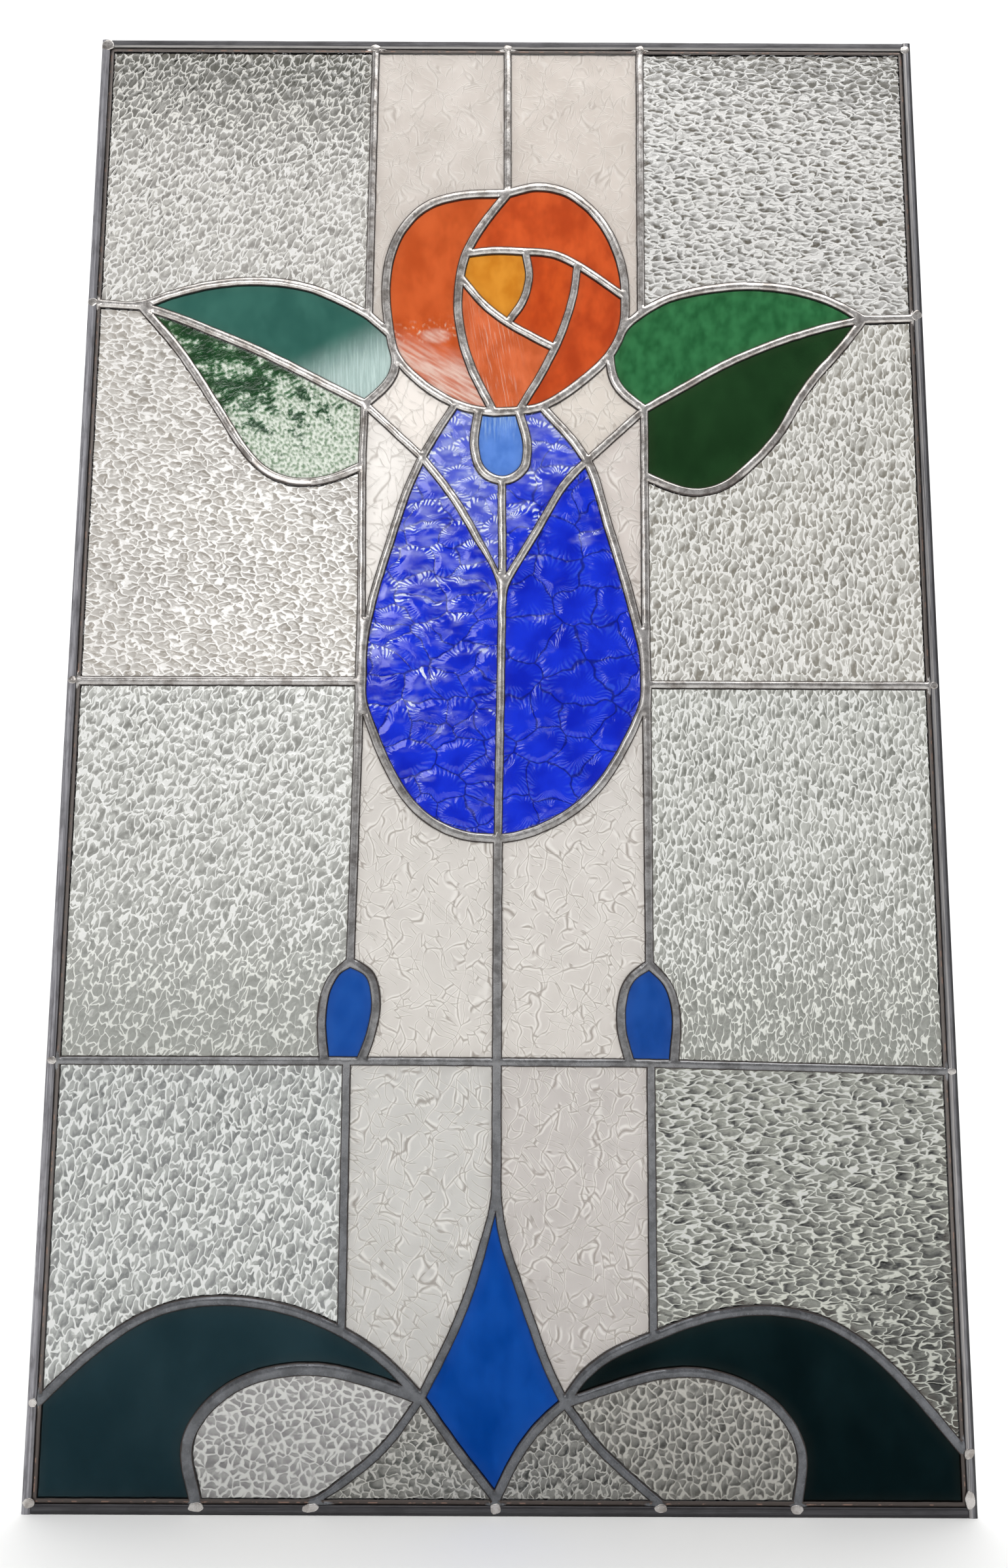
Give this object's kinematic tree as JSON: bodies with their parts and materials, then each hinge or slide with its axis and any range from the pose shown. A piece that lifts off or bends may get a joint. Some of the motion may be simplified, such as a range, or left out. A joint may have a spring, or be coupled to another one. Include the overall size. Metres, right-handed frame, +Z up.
{
  "type": "stained glass panel",
  "caption": "Upright stained glass panel with a rose, leaves, a blue drop, buds, waves and a diamond among clear textured panes, joined by solder and edged in lead.",
  "frame": {"origin": "middle of the bottom came's flat under face, half-way through the panel's thickness", "axes": "+Z up the panel, +X to the right seen from the front, +Y to the back; the front faces -Y"},
  "size_m": [0.6, 0.0064, 1.02],
  "materials": {
    "clear_textured_glass": "clear sheet glass with a hammered face",
    "pale_creased_glass": "pale warm glass with fine leaf-like creases",
    "orange_glass": "streaky orange cathedral glass, glossy",
    "amber_glass": "amber cathedral glass, glossy",
    "teal_glass": "teal cathedral glass, glossy",
    "wavy_green_glass": "dark green glass with a wavy face",
    "green_glass": "mottled green cathedral glass, glossy",
    "dark_green_glass": "very dark green glass, glossy",
    "sky_blue_glass": "streaky sky blue glass, glossy",
    "cobalt_glass": "cobalt glass with large hammered cells",
    "blue_glass": "plain blue cathedral glass, glossy",
    "dark_sea_glass": "very dark teal glass, glossy",
    "solder": "hand-run tin and lead solder, bright and lumpy",
    "lead_came": "dull grey lead with streaks and rubbed edges"
  },
  "bodies": {
    "root": {"clear_pane_top_left": "clear_textured_glass", "clear_pane_top_right": "clear_textured_glass", "clear_pane_second_left": "clear_textured_glass", "clear_pane_second_right": "clear_textured_glass", "clear_pane_third_left": "clear_textured_glass", "clear_pane_third_right": "clear_textured_glass", "clear_pane_fourth_left": "clear_textured_glass", "clear_pane_fourth_right": "clear_textured_glass", "clear_pane_under_left_wave": "clear_textured_glass", "clear_pane_under_right_wave": "clear_textured_glass", "clear_triangle_left_of_diamond": "clear_textured_glass", "clear_triangle_right_of_diamond": "clear_textured_glass", "cream_strip_top_left": "pale_creased_glass", "cream_strip_top_right": "pale_creased_glass", "cream_piece_under_left_leaf": "pale_creased_glass", "cream_piece_under_right_leaf": "pale_creased_glass", "cream_wedge_left_of_drop": "pale_creased_glass", "cream_wedge_right_of_drop": "pale_creased_glass", "cream_strip_third_left": "pale_creased_glass", "cream_strip_third_right": "pale_creased_glass", "cream_strip_fourth_left": "pale_creased_glass", "cream_strip_fourth_right": "pale_creased_glass", "rose_left_petal": "orange_glass", "rose_top_petal": "orange_glass", "rose_inner_petal": "orange_glass", "rose_bottom_petal": "orange_glass", "rose_right_petal": "orange_glass", "rose_heart": "amber_glass", "left_leaf_upper_half": "teal_glass", "left_leaf_lower_half": "wavy_green_glass", "right_leaf_upper_half": "green_glass", "right_leaf_lower_half": "dark_green_glass", "cup_under_rose": "sky_blue_glass", "drop_upper_left": "cobalt_glass", "drop_upper_right": "cobalt_glass", "drop_lower_left": "cobalt_glass", "drop_lower_right": "cobalt_glass", "left_bud": "blue_glass", "right_bud": "blue_glass", "blue_diamond": "blue_glass", "left_wave": "dark_sea_glass", "right_wave": "dark_sea_glass", "solder_net": "solder", "came_left": "lead_came", "came_right": "lead_came", "came_bottom": "lead_came", "came_top": "lead_came"}
  },
  "joints": []
}
